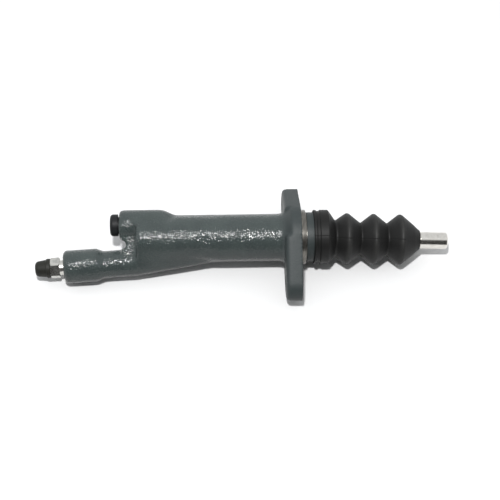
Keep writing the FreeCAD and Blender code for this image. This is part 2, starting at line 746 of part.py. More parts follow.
def build_retaining_ring():
    """The split ring in the bore's mouth that the piston comes to rest on."""
    body = new_body("retaining_ring")
    near = "(piston_start + face_gap * 2)"
    outer = "(bore_dia / 2 + ring_bite - face_gap)"
    turn_profile(body, "ring_section", [
        (near, f"{outer} - ring_width"),
        (near, outer),
        (f"{near} + ring_thickness", outer),
        (f"{near} + ring_thickness", f"{outer} - ring_width"),
    ])
    gap = outline(new_sketch(body, "ring_gap_outline", "YZ_Plane"), [
        ("-ring_opening / 2", "-bore_dia"),
        ("ring_opening / 2", "-bore_dia"),
        ("ring_opening / 2", "-ring_width"),
        ("-ring_opening / 2", "-ring_width"),
    ])
    doc.recompute()
    slot = body.newObject("PartDesign::Pocket", "ring_gap")
    slot.Profile = gap
    slot.SideType = "Symmetric"
    slot.Type = "ThroughAll"
    settle(slot, grows=False)
    return body


def build_pushrod():
    """The plain steel rod with a round inner end, as it hangs from its socket."""
    body = new_body("pushrod")
    sketch = new_sketch(body, "rod_profile", **ROD_PLACE)
    ball_outline(sketch, "rod_dia / 2", [
        ("rod_dia / 2", "rod_shank_dia / 2"),
        ("rod_length - rod_tip_length", "rod_shank_dia / 2"),
        ("rod_length - rod_tip_length", "rod_dia / 2"),
        ("rod_length - rod_chamfer", "rod_dia / 2"),
        ("rod_length", "rod_dia / 2 - rod_chamfer"),
        ("rod_length", "0"),
    ])
    turned(body, "rod", sketch)
    return body


def boot_shoulder():
    """How far from the ball's centre the bellows turns in to its lip, past the last of three crests."""
    return "(boot_first_crest + 2 * boot_pitch + boot_shoulder_lead)"


def bellows_corners(inset):
    """The run of valleys and crests from the first valley to the nose, drawn in by an inset."""
    corners = [("boot_first_valley", f"boot_first_valley_dia / 2 - {inset}")]
    for turn in range(3):
        crest = f"boot_first_crest + {turn} * boot_pitch"
        corners.append((crest, f"boot_crest_dia / 2 - {inset}"))
        if turn < 2:
            corners.append((f"{crest} + boot_valley_lead", f"boot_valley_dia / 2 - {inset}"))
    return corners


def boot_ring(body, name, radius, rod_side):
    """A circle at one end of the boot's first slope, on the bore axis or on the rod's."""
    if rod_side:
        place = {"at": ("boot_first_valley * cos(rod_droop) - ball_centre", "0",
                        "-boot_first_valley * sin(rod_droop)"), "turn": ROD_FRAME + FACE_ON}
    else:
        place = {"at": ("cuff_start + cuff_length", "0", "0"),
                 "turn": "rotation(vector(1; 1; 1); 120)"}
    sketch = new_sketch(body, name, **place)
    ring = sketch.addGeometry(Part.Circle(V(0, 0, 0), V(0, 0, 1), size(radius)), False)
    sketch.addConstraint(Sketcher.Constraint("Coincident", ring, 3, -1, 1))
    fix(sketch, "Radius", radius, ring)
    return sketch


def first_slope(body, name, inset, cut):
    """The skewed slope from the cuff, on the bore axis, to the first valley, on the rod's axis."""
    rings = [
        boot_ring(body, f"{name}_cuff_ring", f"cuff_dia / 2 - {inset}", rod_side=False),
        boot_ring(body, f"{name}_valley_ring", f"boot_first_valley_dia / 2 - {inset}", rod_side=True),
    ]
    doc.recompute()
    loft = body.newObject(f"PartDesign::{'Subtractive' if cut else 'Additive'}Loft", name)
    loft.Profile = rings[0]
    loft.Sections = rings[1:]
    loft.Ruled = True
    return settle(loft, grows=not cut)


def build_dust_boot():
    """The moulded bellows: its cuff grips the snout and its lip grips the rod."""
    body = new_body("dust_boot")
    end = "(cuff_start + cuff_length)"
    band = "(cuff_start + cuff_ridge + cuff_recess)"
    turn_profile(body, "cuff", [
        ("cuff_start", "0"),
        ("cuff_start", "cuff_dia / 2 - cuff_recess / 2"),
        ("cuff_start + cuff_recess / 2", "cuff_dia / 2"),
        ("cuff_start + cuff_ridge", "cuff_dia / 2"),
        ("cuff_start + cuff_ridge + cuff_recess / 4", "cuff_dia / 2 - cuff_recess"),
        (f"{band} + cuff_ridge - cuff_recess / 4", "cuff_dia / 2 - cuff_recess"),
        (f"{band} + cuff_ridge", "cuff_dia / 2"),
        (end, "cuff_dia / 2"),
        (end, "0"),
    ])
    first_slope(body, "first_slope", "0", cut=False)
    nose = f"({boot_shoulder()} + boot_nose_length)"
    turn_profile(body, "bellows", [("boot_first_valley", "0")] + bellows_corners("0") + [
        (boot_shoulder(), "boot_shoulder_dia / 2"),
        (f"{nose} - boot_lip_length / 2", "boot_lip_dia / 2"),
        (nose, "boot_lip_dia / 2"),
        (nose, "0"),
    ], **ROD_PLACE)
    round_boot(body)
    first_slope(body, "first_slope_hollow", "boot_wall", cut=True)
    cut_profile(body, "bellows_hollow", [("boot_first_valley", "0")] + bellows_corners("boot_wall") + [
        (f"{boot_shoulder()} - boot_wall / 2", "boot_shoulder_dia / 2 - boot_wall"),
        (f"{nose} - boot_lip_length", "rod_shank_dia / 2 + soft_clearance"),
        (f"{nose} + boot_lip_length", "rod_shank_dia / 2 + soft_clearance"),
        (f"{nose} + boot_lip_length", "0"),
    ], **ROD_PLACE)
    grip = "(boot_groove_start + soft_clearance)"
    far = "(boot_groove_start + boot_groove_width - soft_clearance)"
    cut_profile(body, "cuff_bore", [
        ("cuff_start - cuff_ridge", "0"),
        ("cuff_start - cuff_ridge", "snout_dia / 2 + soft_clearance"),
        (grip, "snout_dia / 2 + soft_clearance"),
        (grip, "boot_groove_dia / 2 + soft_clearance"),
        (far, "boot_groove_dia / 2 + soft_clearance"),
        (far, "snout_dia / 2 - mouth_chamfer / 2 + soft_clearance"),
        (end, "snout_dia / 2 - mouth_chamfer / 2 + soft_clearance"),
        (end, "0"),
    ])
    return body


def round_boot(body):
    """Rounds the bellows' crests, valleys and shoulder."""
    ball = V(-size("ball_centre"), 0, 0)
    droop = math.radians(size("rod_droop"))
    along = V(math.cos(droop), 0, -math.sin(droop))

    def rings(places):
        return lambda e: any(ring_edge(e, a, r, ball, along) for a, r in places)

    crests = [(size(f"boot_first_crest + {i} * boot_pitch"), size("boot_crest_dia / 2")) for i in range(3)]
    round_edges(body, "crest_rounds", "boot_crest_round", rings(crests))
    valleys = [(a + size("boot_valley_lead"), size("boot_valley_dia / 2")) for a, _ in crests[:2]]
    round_edges(body, "valley_rounds", "boot_valley_round", rings(valleys))
    shoulder = [(size(boot_shoulder()), size("boot_shoulder_dia / 2"))]
    round_edges(body, "shoulder_round", "boot_shoulder_round", rings(shoulder))


def build_bleed_screw():
    """The hexagon-headed bleed screw with its cone seat, passages and hose nipple."""
    body = new_body("bleed_screw")
    seat = "(arm_reach - screw_thread_length + 2 * face_gap)"
    head = "(arm_reach + screw_neck_length)"
    nipple = f"({head} + screw_head_length)"
    tip = f"({nipple} + nipple_length)"
    shank = "screw_thread_dia / 2"
    turn_profile(body, "screw_turning", [
        (f"{seat} - {shank} + screw_tip_dia / 2", "0"),
        (f"{seat} - {shank} + screw_tip_dia / 2", "screw_tip_dia / 2"),
        (f"{seat} - {shank} + screw_relief_dia / 2", "screw_relief_dia / 2"),
        (f"{seat} + screw_relief_length", "screw_relief_dia / 2"),
        (f"{seat} + screw_relief_length + {shank} - screw_relief_dia / 2", shank),
        ("arm_reach - thread_clearance", shank),
        ("arm_reach - thread_clearance", "screw_neck_dia / 2"),
        (head, "screw_neck_dia / 2"),
        (nipple, "screw_neck_dia / 2"),
        (nipple, "nipple_waist_dia / 2"),
        (f"{nipple} + nipple_length * 0.4", "nipple_waist_dia / 2"),
        (f"{nipple} + nipple_length * 0.5", "nipple_dia / 2"),
        (tip, "nipple_waist_dia / 2 - nipple_dia / 8"),
        (tip, "0"),
    ], **arm_place())
    hexagon = new_sketch(body, "hexagon_outline", **{**arm_place(head), "turn": ARM_FRAME + FACE_ON})
    corner = "(screw_flats / 2 / cos(30))"
    outline(hexagon, [
        (f"{corner} * sin({60 * i} - 30 + screw_hex_turn)", f"{corner} * cos({60 * i} - 30 + screw_hex_turn)")
        for i in range(6)
    ])
    doc.recompute()
    pad = body.newObject("PartDesign::Pad", "hexagon")
    pad.Profile = hexagon
    pad.setExpression("Length", tied("screw_head_length"))
    settle(pad, grows=True)
    for name, face, inward in (("hex_outer_chamfer", nipple, -1), ("hex_inner_chamfer", head, 1)):
        cut_profile(body, name, [
            (face, f"{corner} - screw_hex_chamfer"),
            (face, f"{corner} + screw_hex_chamfer"),
            (f"{face} + {inward} * 2 * screw_hex_chamfer * tan(30)", f"{corner} + screw_hex_chamfer"),
        ], **arm_place())
    cut_profile(body, "screw_bore", [
        (f"{seat} + screw_cross_hole_dia", "0"),
        (f"{seat} + screw_cross_hole_dia", "screw_bore_dia / 2"),
        (f"{tip} + nipple_length", "screw_bore_dia / 2"),
        (f"{tip} + nipple_length", "0"),
    ], **arm_place())
    side = new_sketch(body, "cross_hole_outline", **arm_place())
    hole = side.addGeometry(Part.Circle(V(size(f"{seat} + screw_cross_hole_dia"), 0, 0), V(0, 0, 1), 1), False)
    side.addConstraint(Sketcher.Constraint("PointOnObject", hole, 3, -1))
    fix(side, "DistanceX", f"{seat} + screw_cross_hole_dia", -1, 1, hole, 3)
    fix(side, "Diameter", "screw_cross_hole_dia", hole)
    doc.recompute()
    pocket = body.newObject("PartDesign::Pocket", "cross_hole")
    pocket.Profile = side
    pocket.SideType = "Symmetric"
    pocket.Type = "ThroughAll"
    settle(pocket, grows=False)
    return body


def build_bleed_cap():
    """The rubber cap pushed over the nipple."""
    body = new_body("bleed_cap")
    head = "(arm_reach + screw_neck_length + screw_head_length)"
    start = f"({head} + soft_clearance)"
    end = f"({head} + nipple_length + cap_wall)"
    turn_profile(body, "cap_form", [
        (start, "0"),
        (start, "cap_skirt_dia / 2 - soft_clearance * 2"),
        (f"{start} + soft_clearance * 4", "cap_skirt_dia / 2"),
        (f"{start} + cap_skirt_length - soft_clearance * 4", "cap_skirt_dia / 2"),
        (f"{start} + cap_skirt_length", "cap_base_dia / 2"),
        (end, "cap_tip_dia / 2"),
        (end, "0"),
    ], **arm_place())
    place = V(*(size(words) for words in arm_place()["at"]))
    round_edges(body, "cap_corner", "cap_round", lambda e: ring_edge(
        e, size(end), size("cap_tip_dia / 2"), place, arm_direction()))
    cut_profile(body, "cap_hollow", [
        (f"{start} - cap_wall", "0"),
        (f"{start} - cap_wall", "nipple_dia / 2 + soft_clearance"),
        (f"{head} + nipple_length / 2", "nipple_dia / 2 + soft_clearance"),
        (f"{head} + nipple_length + soft_clearance", "nipple_waist_dia / 2"),
        (f"{head} + nipple_length + soft_clearance", "0"),
    ], **arm_place())
    return body


def build_port_plug():
    """The plastic plug that closes the fluid port in transit."""
    body = new_body("port_plug")
    face = "(-barrel_length - port_boss_reach)"
    head = f"({face} - plug_groove_width)"
    stem = "port_thread_dia / 2 - thread_clearance"
    turn_profile(body, "plug_form", [
        (f"{head} - plug_head_length", "0"),
        (f"{head} - plug_head_length", "plug_head_dia / 2"),
        (head, "plug_head_dia / 2"),
        (head, "plug_groove_dia / 2"),
        (f"{face} + plug_groove_width", "plug_groove_dia / 2"),
        (f"{face} + plug_groove_width", stem),
        (f"{face} + plug_stem_length - plug_groove_width", stem),
        (f"{face} + plug_stem_length", f"{stem} - plug_groove_width"),
        (f"{face} + plug_stem_length", f"{stem} - plug_wall"),
        (f"{head} - plug_head_length + plug_wall", f"{stem} - plug_wall"),
        (f"{head} - plug_head_length + plug_wall", "0"),
    ], at=port_origin("0"), turn=PORT_FRAME)
    centre = V(*[size(words) for words in port_origin("0")])
    round_edges(body, "plug_corner", "plug_round", lambda e: ring_edge(
        e, size(f"{head} - plug_head_length"), size("plug_head_dia / 2"), centre))
    return body


def arm_direction():
    """The way the bleed arm points, as a unit vector."""
    lean = math.radians(size("arm_slope"))
    tilt = math.radians(size("port_tilt"))
    down = -math.sin(lean)
    return V(-math.cos(lean), down * math.cos(tilt), down * math.sin(tilt))


def main():
    """Builds every piece, checks the whole document and writes one file for each piece."""
    pieces = [
        build_casting(), build_piston(), build_cup_washer(), *build_seals(), build_spring_seat(),
        build_return_spring(), build_retaining_ring(), build_pushrod(), build_dust_boot(),
        build_bleed_screw(), build_bleed_cap(), build_port_plug(),
    ]
    doc.recompute()
    for item in doc.Objects:
        if {"Invalid", "Error"} & set(item.State):
            raise RuntimeError(f"{item.Label} failed: {item.State}")
    for piece in pieces:
        if piece.Shape.isNull() or not piece.Shape.isValid() or len(piece.Shape.Solids) != 1:
            raise RuntimeError(f"{piece.Label} is not one sound solid")
    os.makedirs("parts", exist_ok=True)
    for piece in pieces:
        piece.Shape.exportStep(f"parts/{piece.Label}.step")
        box = piece.Shape.BoundBox
        print(f"{piece.Label}: {piece.Shape.Volume:.0f} mm3, x {box.XMin:.2f} to {box.XMax:.2f}")


main()
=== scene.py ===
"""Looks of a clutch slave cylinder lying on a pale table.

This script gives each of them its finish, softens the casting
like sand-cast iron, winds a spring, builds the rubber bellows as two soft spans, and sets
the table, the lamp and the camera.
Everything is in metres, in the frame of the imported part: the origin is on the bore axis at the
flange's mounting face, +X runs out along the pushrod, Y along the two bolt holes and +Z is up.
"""

import logging
import math
from dataclasses import dataclass, field
from enum import Enum

import bpy
import numpy as np
from mathutils import Matrix, Vector


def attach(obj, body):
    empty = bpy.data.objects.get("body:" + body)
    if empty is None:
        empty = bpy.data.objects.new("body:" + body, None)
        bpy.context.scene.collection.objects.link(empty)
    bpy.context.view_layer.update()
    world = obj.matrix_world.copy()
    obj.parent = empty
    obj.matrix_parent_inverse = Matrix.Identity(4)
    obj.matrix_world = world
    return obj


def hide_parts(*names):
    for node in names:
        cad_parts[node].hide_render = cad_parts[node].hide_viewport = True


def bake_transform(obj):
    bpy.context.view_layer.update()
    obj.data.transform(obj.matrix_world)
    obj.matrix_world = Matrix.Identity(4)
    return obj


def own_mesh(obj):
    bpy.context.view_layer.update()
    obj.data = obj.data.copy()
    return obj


LOG = logging.getLogger("slave_cylinder")
MM = 0.001
CREASE = math.radians(50)
DROOP = math.radians(3.6)

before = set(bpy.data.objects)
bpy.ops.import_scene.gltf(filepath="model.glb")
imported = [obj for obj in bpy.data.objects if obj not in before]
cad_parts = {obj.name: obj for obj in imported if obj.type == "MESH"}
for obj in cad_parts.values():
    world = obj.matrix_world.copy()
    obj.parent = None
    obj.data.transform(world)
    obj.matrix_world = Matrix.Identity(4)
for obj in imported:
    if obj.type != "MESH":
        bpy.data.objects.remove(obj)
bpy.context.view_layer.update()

Triple = tuple[float, float, float]
Color = Triple


class Sock:
    """A shader output that takes part in Python arithmetic: each operator adds one Math node."""

    def __init__(self, shader: "Shader", socket: bpy.types.NodeSocket) -> None:
        """Keeps the socket and the shader that it belongs to."""
        self.shader = shader
        self.socket = socket

    def math(self, operation: str, *values: "Sock | float") -> "Sock":
        """A Math node on some values.

        Args:
            operation: the Math node's operation.
            values: the node's inputs in order.

        Returns:
            The node's value.
        """
        inputs = dict(enumerate(values))
        return self.shader.node("ShaderNodeMath", {"operation": operation}, inputs)["Value"]

    def __add__(self, other: "Sock | float") -> "Sock":
        """self + other"""
        return self.math("ADD", self, other)

    def __radd__(self, other: float) -> "Sock":
        """other + self"""
        return self.math("ADD", other, self)

    def __sub__(self, other: "Sock | float") -> "Sock":
        """self - other"""
        return self.math("SUBTRACT", self, other)

    def __rsub__(self, other: float) -> "Sock":
        """other - self"""
        return self.math("SUBTRACT", other, self)

    def __mul__(self, other: "Sock | float") -> "Sock":
        """self * other"""
        return self.math("MULTIPLY", self, other)

    def __rmul__(self, other: float) -> "Sock":
        """other * self"""
        return self.math("MULTIPLY", other, self)

    def __pow__(self, other: "Sock | float") -> "Sock":
        """self ** other"""
        return self.math("POWER", self, other)

    def __gt__(self, other: "Sock | float") -> "Sock":
        """1 where self is more than other, else 0."""
        return self.math("GREATER_THAN", self, other)

    def __lt__(self, other: "Sock | float") -> "Sock":
        """1 where self is less than other, else 0."""
        return self.math("LESS_THAN", self, other)

    def rise(self, low: float, high: float) -> "Sock":
        """A smooth step from 0 at low to 1 at high."""
        settings = {"interpolation_type": "SMOOTHSTEP"}
        inputs = {"Value": self, "From Min": low, "From Max": high}
        return self.shader.node("ShaderNodeMapRange", settings, inputs)["Result"]


class Outputs:
    """The outputs of one node, by name or number, as Sock values."""

    def __init__(self, shader: "Shader", node: bpy.types.Node) -> None:
        """Keeps the node and its shader."""
        self.shader = shader
        self.node = node

    def __getitem__(self, key: str | int) -> Sock:
        """The output with that name or number."""
        return Sock(self.shader, self.node.outputs[key])


class Shader:
    """A node tree, with one method that adds nodes and short names for common ones."""

    def __init__(self, owner: bpy.types.Material | bpy.types.World) -> None:
        """Empties the node tree of a new material or world."""
        self.owner = owner
        owner.use_nodes = True
        self.tree = owner.node_tree
        self.tree.nodes.clear()

    @classmethod
    def material(cls, name: str) -> "Shader":
        """Starts an empty material with that name."""
        return cls(bpy.data.materials.new(name))

    def node(self, kind: str, settings: dict | None = None, inputs: dict | None = None) -> Outputs:
        """Adds one node.

        Args:
            kind: the node's type.
            settings: its properties, set first.
            inputs: values or Sock links for its inputs, by name or number.

        Returns:
            The node's outputs.
        """
        made = self.tree.nodes.new(kind)
        for key, value in (settings or {}).items():
            setattr(made, key, value)
        for key, value in (inputs or {}).items():
            if isinstance(value, Sock):
                self.tree.links.new(value.socket, made.inputs[key])
            else:
                made.inputs[key].default_value = value
        return Outputs(self, made)

    def place(self) -> Sock:
        """Object coordinates, which are the row frame's own metres."""
        return self.node("ShaderNodeTexCoord")["Object"]

    def axes(self, vector: Sock) -> tuple[Sock, Sock, Sock]:
        """The three parts of a vector."""
        parts = self.node("ShaderNodeSeparateXYZ", None, {0: vector})
        return parts["X"], parts["Y"], parts["Z"]

    def stretched(self, vector: Sock, scale: Triple, turn: Triple = (0, 0, 0)) -> Sock:
        """Coordinates turned by some radians and then scaled along each axis."""
        inputs = {"Vector": vector, "Scale": scale, "Rotation": turn}
        return self.node("ShaderNodeMapping", {"vector_type": "POINT"}, inputs)["Vector"]

    def grain(self, vector: Sock, size: float, detail: float = 2.0, rough: float = 0.5) -> Sock:
        """Noise around 0.5 whose patches are about one size, in metres, across."""
        inputs = {"Vector": vector, "Scale": 1 / size, "Detail": detail, "Roughness": rough}
        return self.node("ShaderNodeTexNoise", {"noise_dimensions": "3D"}, inputs)["Fac"]

    def blend(self, factor: Sock | float, first: Sock | Color, second: Sock | Color) -> Sock:
        """A colour that goes from the first to the second as the factor goes from 0 to 1."""
        paint = [c if isinstance(c, Sock) else (*c, 1.0) for c in (first, second)]
        settings = {"data_type": "RGBA", "blend_type": "MIX"}
        inputs = {0: factor, 6: paint[0], 7: paint[1]}
        return self.node("ShaderNodeMix", settings, inputs)[2]

    def attribute(self, name: str) -> Sock:
        """A number that the mesh carries at each of its points."""
        return self.node("ShaderNodeAttribute", {"attribute_name": name})["Fac"]

    def bump(self, height: Sock, depth: float, under: Sock | None = None) -> Sock:
        """A normal that tilts with a height.

        Args:
            height: the relief, from 0 to 1.
            depth: the real depth of that relief in metres.
            under: a normal that the relief lies on.

        Returns:
            The tilted normal.
        """
        inputs = {"Height": height, "Distance": depth, "Strength": 1.0}
        if under is not None:
            inputs["Normal"] = under
        return self.node("ShaderNodeBump", None, inputs)["Normal"]

    def finish(self, **inputs: "Sock | float | Color") -> bpy.types.Material:
        """Ends the material in a Principled shader with these inputs, in words joined by _."""
        named = {}
        for key, value in inputs.items():
            named[key.replace("_", " ")] = (*value, 1.0) if isinstance(value, tuple) else value
        shader = self.node("ShaderNodeBsdfPrincipled", None, named)
        self.node("ShaderNodeOutputMaterial", None, {"Surface": shader["BSDF"]})
        return self.owner


@dataclass(frozen=True)
class CastEnamel:
    """Grey-green enamel over rough cast iron, with painted shade over the flange and the turned
    spigot and bore left bare.
    """

    name: str = "grey_enamel_on_cast_iron"
    tone: Color = (0.050, 0.063, 0.061)
    thin: Color = (0.043, 0.054, 0.053)
    dust: Color = (0.064, 0.079, 0.077)
    # painted shade: the darker colour of the flange and snout
    shaded_flange: Color = (0.027, 0.034, 0.035)
    flange_shade_from: float = -14 * MM
    flange_shade_full: float = -8 * MM
    bare: Color = (0.10, 0.095, 0.085)
    bright: Color = (0.23, 0.22, 0.20)
    sand: float = 1.05 * MM
    peel: float = 1.15 * MM
    wave: float = 9 * MM
    sand_depth: float = 0.42 * MM
    peel_depth: float = 0.05 * MM
    sand_share: float = 0.85
    wave_share: float = 0.15
    dust_share: float = 0.45
    flange_shade_share: float = 0.8
    roughness: float = 0.06
    roughness_of_peel: float = 0.06
    roughness_of_wave: float = 0.04
    matte_on_flange: float = 0.42
    smooth_on_flange: float = 0.8
    ring_lay: Triple = (9, 0.4, 0.4)
    ring_size: float = 2.2 * MM
    metal_roughness: float = 0.24
    roughness_of_rings: float = 0.12
    metallic: float = 0.9
    specular: float = 0.36
    spigot_start: float = 0.05 * MM
    spigot_end: float = 3.3 * MM
    bare_radius: float = 16.1 * MM
    bore_radius: float = 11.4 * MM
    bore_floor: float = -93 * MM

    def bare_mask(self, s: Shader, at: Sock) -> Sock:
        """1 on the machined band between the flange and the snout, and inside the bore."""
        x, y, z = s.axes(at)
        radius = (y * y + z * z) ** 0.5
        band = (x > self.spigot_start) * (x < self.spigot_end) * (radius < self.bare_radius)
        inside = (radius < self.bore_radius) * (x > self.bore_floor)
        return (band + inside).rise(0.4, 0.6)

    def material(self) -> bpy.types.Material:
        """Builds the finish: paint colour varied by noise and darkened over flange and snout as
        painted shade, grit in the gloss, bare metal by mask.
        """
        s = Shader.material(self.name)
        at = s.place()
        bare = self.bare_mask(s, at)
        sand = s.grain(at, self.sand, 1.0, 0.5)
        peel = s.grain(at, self.peel, 2.0, 0.5)
        wave = s.grain(at, self.wave, 2.0, 0.5)
        paint = s.blend(wave.rise(0.3, 0.7), self.thin, self.tone)
        paint = s.blend(sand.rise(0.52, 0.74) * self.dust_share, paint, self.dust)
        rings = s.grain(s.stretched(at, self.ring_lay), self.ring_size, 3.0, 0.6)
        metal = s.blend(rings.rise(0.35, 0.7), self.bare, self.bright)
        # Painted shade: the paint darkens from x = -14 mm to -8 mm and stays dark over flange and
        # snout; this zone is also rougher and smoother in relief.
        shaded_flange = s.axes(at)[0].rise(self.flange_shade_from, self.flange_shade_full)
        paint = s.blend(shaded_flange * self.flange_shade_share, paint, self.shaded_flange)
        color = s.blend(bare, paint, metal)
        painted = (self.roughness + self.roughness_of_peel * peel + self.roughness_of_wave * wave
                   + self.matte_on_flange * shaded_flange)
        turned = self.metal_roughness + self.roughness_of_rings * rings
        rough = painted * (1 - bare) + turned * bare
        height = self.sand_share * sand + self.wave_share * wave
        height = height * (1 - bare) * (1 - self.smooth_on_flange * shaded_flange)
        relief = s.bump(height, self.sand_depth)
        relief = s.bump(peel * (1 - 0.9 * bare) * (1 - 0.6 * shaded_flange), self.peel_depth, relief)
        return s.finish(Base_Color=color, Roughness=rough, Metallic=bare * self.metallic,
                        Normal=relief, Specular_IOR_Level=self.specular)


@dataclass(frozen=True)
class PlatedSteel:
    """Bright zinc plate over turned or milled steel, dulled in patches."""

    name: str
    tone: Color
    dull: Color
    roughness: float = 0.24
    haze: float = 0.16
    patch: float = 2.5 * MM
    lay: Triple = (1, 1, 1)
    turn: Triple = (0, 0, 0)
    scratch: float = 0.35 * MM
    depth: float = 0.012 * MM

    def material(self) -> bpy.types.Material:
        """Builds the finish: patches of haze, and scratches that run along the tool's lay."""
        s = Shader.material(self.name)
        at = s.place()
        patch = s.grain(at, self.patch, 3.0, 0.6)
        lines = s.grain(s.stretched(at, self.lay, self.turn), self.scratch, 2.0, 0.6)
        color = s.blend(patch.rise(0.4, 0.75), self.tone, self.dull)
        rough = self.roughness + self.haze * patch.rise(0.35, 0.75) + 0.08 * lines
        return s.finish(Base_Color=color, Roughness=rough, Metallic=1.0,
                        Normal=s.bump(lines, self.depth))


@dataclass(frozen=True)
class Rubber:
    """Moulded black rubber: matte, with a fine grain, a bloom where it is rubbed, and on the
    bellows a painted highlight along the crests.
    """

    name: str
    tone: Color = (0.007, 0.007, 0.0068)
    # lighter colour for the bloom, and on the bellows for the painted highlight on the crests
    bloom_and_highlight: Color = (0.027, 0.027, 0.026)
    roughness: float = 0.5
    cloud: float = 5 * MM
    grain: float = 0.5 * MM
    depth: float = 0.02 * MM
    specular: float = 0.25
    seam_depth: float = 6.0
    follows_mesh: bool = False

    def material(self) -> bpy.types.Material:
        """Builds the finish: bloom by noise; on the bellows a painted highlight on the crests by
        attribute, and neither on the mould line.
        """
        s = Shader.material(self.name)
        at = s.place()
        cloud = s.grain(at, self.cloud, 4.0, 0.6)
        fine = s.grain(at, self.grain, 2.0, 0.6)
        dust_and_highlight = cloud.rise(0.45, 0.8) * 0.5
        height = fine
        if self.follows_mesh:
            crest = s.attribute("crest")
            seam = s.attribute("seam")
            # Painted highlight: the crests are lighter, broken up by the cloud noise; the mould
            # line stays plain.
            dust_and_highlight = (dust_and_highlight * 0.6 + crest * (0.5 + 0.5 * cloud)) * (1 - seam)
            height = fine - seam * self.seam_depth
        color = s.blend(dust_and_highlight.rise(0.0, 1.0), self.tone, self.bloom_and_highlight)
        rough = self.roughness + 0.12 * cloud - 0.05 * fine
        return s.finish(Base_Color=color, Roughness=rough, Normal=s.bump(height, self.depth),
                        Specular_IOR_Level=self.specular)


@dataclass(frozen=True)
class Plastic:
    """Injection-moulded plastic with a satin skin and light scuffs."""

    name: str
    tone: Color = (0.010, 0.011, 0.012)
    scuff: Color = (0.024, 0.025, 0.027)
    roughness: float = 0.48
    grain: float = 0.3 * MM
    wear: float = 2.0 * MM
    depth: float = 0.01 * MM
    specular: float = 0.22

    def material(self) -> bpy.types.Material:
        """Builds the finish: spark-eroded grain, and scuffs where two noises meet."""
        s = Shader.material(self.name)
        at = s.place()
        fine = s.grain(at, self.grain, 2.0, 0.6)
        worn = s.grain(at, self.wear, 4.0, 0.65)
        color = s.blend(worn.rise(0.55, 0.8) * 0.6, self.tone, self.scuff)
        rough = self.roughness + 0.2 * worn.rise(0.4, 0.8)
        return s.finish(Base_Color=color, Roughness=rough, Normal=s.bump(fine, self.depth),
                        Specular_IOR_Level=self.specular)


def mesh_from_grid(name: str, grid: np.ndarray, marks: dict[str, np.ndarray]) -> bpy.types.Object:
    """A closed mesh from points on a grid that wraps round in both directions.

    Point (i, j) joins (i+1, j), (i+1, j+1) and (i, j+1), counted round both ends, so the faces
    make one closed ring-shaped surface.

    Args:
        name: the object's name.
        grid: points of shape (rows, columns, 3), in metres.
        marks: numbers for each point, of shape (rows, columns), kept as mesh attributes.

    Returns:
        The object, linked to the scene.
    """
    rows, columns = grid.shape[:2]
    index = np.arange(rows * columns).reshape(rows, columns)
    ahead, right = np.roll(index, -1, 0), np.roll(index, -1, 1)
    corner = np.roll(ahead, -1, 1)
    quads = np.stack([index, ahead, corner, right], -1).reshape(-1, 4)
    mesh = bpy.data.meshes.new(name)
    mesh.vertices.add(rows * columns)
    mesh.vertices.foreach_set("co", grid.astype(np.float32).ravel())
    mesh.loops.add(quads.size)
    mesh.loops.foreach_set("vertex_index", quads.astype(np.int32).ravel())
    mesh.polygons.add(len(quads))
    mesh.polygons.foreach_set("loop_start", np.arange(0, quads.size, 4, dtype=np.int32))
    mesh.update(calc_edges=True)
    mesh.validate()
    for key, values in marks.items():
        layer = mesh.attributes.new(key, "FLOAT", "POINT")
        layer.data.foreach_set("value", values.astype(np.float32).ravel())
    made = bpy.data.objects.new(name, mesh)
    bpy.context.scene.collection.objects.link(made)
    return made


def smooth(mesh: bpy.types.Mesh) -> None:
    """Shades a mesh smoothly up to its real edges."""
    mesh.polygons.foreach_set("use_smooth", np.ones(len(mesh.polygons), bool))
    mesh.set_sharp_from_angle(angle=CREASE)


def relaxed(points: np.ndarray, edges: np.ndarray, weight: np.ndarray, rounds: int) -> np.ndarray:
    """Softens a mesh: in each round a point goes halfway to the mean of its neighbours.

    Args:
        points: the mesh's points, of shape (n, 3).
        edges: pairs of point numbers, of shape (m, 2).
        weight: for each point, from 0 where it stays to 1 where it moves in full.
        rounds: how many times; the softening reaches about spacing * sqrt(rounds) / 2.

    Returns:
        The moved points.
    """
    ends = np.concatenate([edges[:, 0], edges[:, 1]])
    others = np.concatenate([edges[:, 1], edges[:, 0]])
    count = np.maximum(np.bincount(ends, minlength=len(points)), 1)
    for _ in range(rounds):
        sums = [np.bincount(ends, points[others, i], len(points)) for i in range(3)]
        mean = np.stack(sums, -1) / count[:, None]
        points = points + 0.5 * weight[:, None] * (mean - points)
    return points


def rounded_line(corners: list[Triple], steps: int = 7) -> np.ndarray:
    """A line of straight runs whose corners are rounded.

    At a corner P with radius R and half the angle A between its runs, the arc starts and ends
    R / tan(A) away from P, and its points lie on the circle that touches both runs.

    Args:
        corners: (along, out, radius) for each corner; the ends' radii are not used.
        steps: points on each arc.

    Returns:
        Points of shape (n, 2).
    """
    points = np.array([c[:2] for c in corners])
    pieces = [points[:1]]
    for i in range(1, len(corners) - 1):
        radius = corners[i][2]
        back, ahead = points[i - 1] - points[i], points[i + 1] - points[i]
        back, ahead = back / np.linalg.norm(back), ahead / np.linalg.norm(ahead)
        half = math.acos(float(np.clip(back @ ahead, -1, 1))) / 2
        middle = back + ahead
        if radius <= 0 or np.linalg.norm(middle) < 1e-6:
            pieces.append(points[i:i + 1])
            continue
        middle = middle / np.linalg.norm(middle)
        centre = points[i] + middle * radius / math.sin(half)
        start = points[i] + back * radius / math.tan(half) - centre
        sweep = math.pi - 2 * half
        side = 1.0 if back[0] * ahead[1] - back[1] * ahead[0] < 0 else -1.0
        turn = np.linspace(0, 1, steps) * sweep * side
        cos, sin = np.cos(turn), np.sin(turn)
        arc = np.stack([start[0] * cos - start[1] * sin, start[0] * sin + start[1] * cos], -1)
        pieces.append(centre + arc)
    pieces.append(points[-1:])
    return np.concatenate(pieces)


class Span(Enum):
    """The two spans of the bellows, and the bodies between which each one folds."""

    SLIDING = ("housing", "piston")
    SWINGING = ("piston", "pushrod")


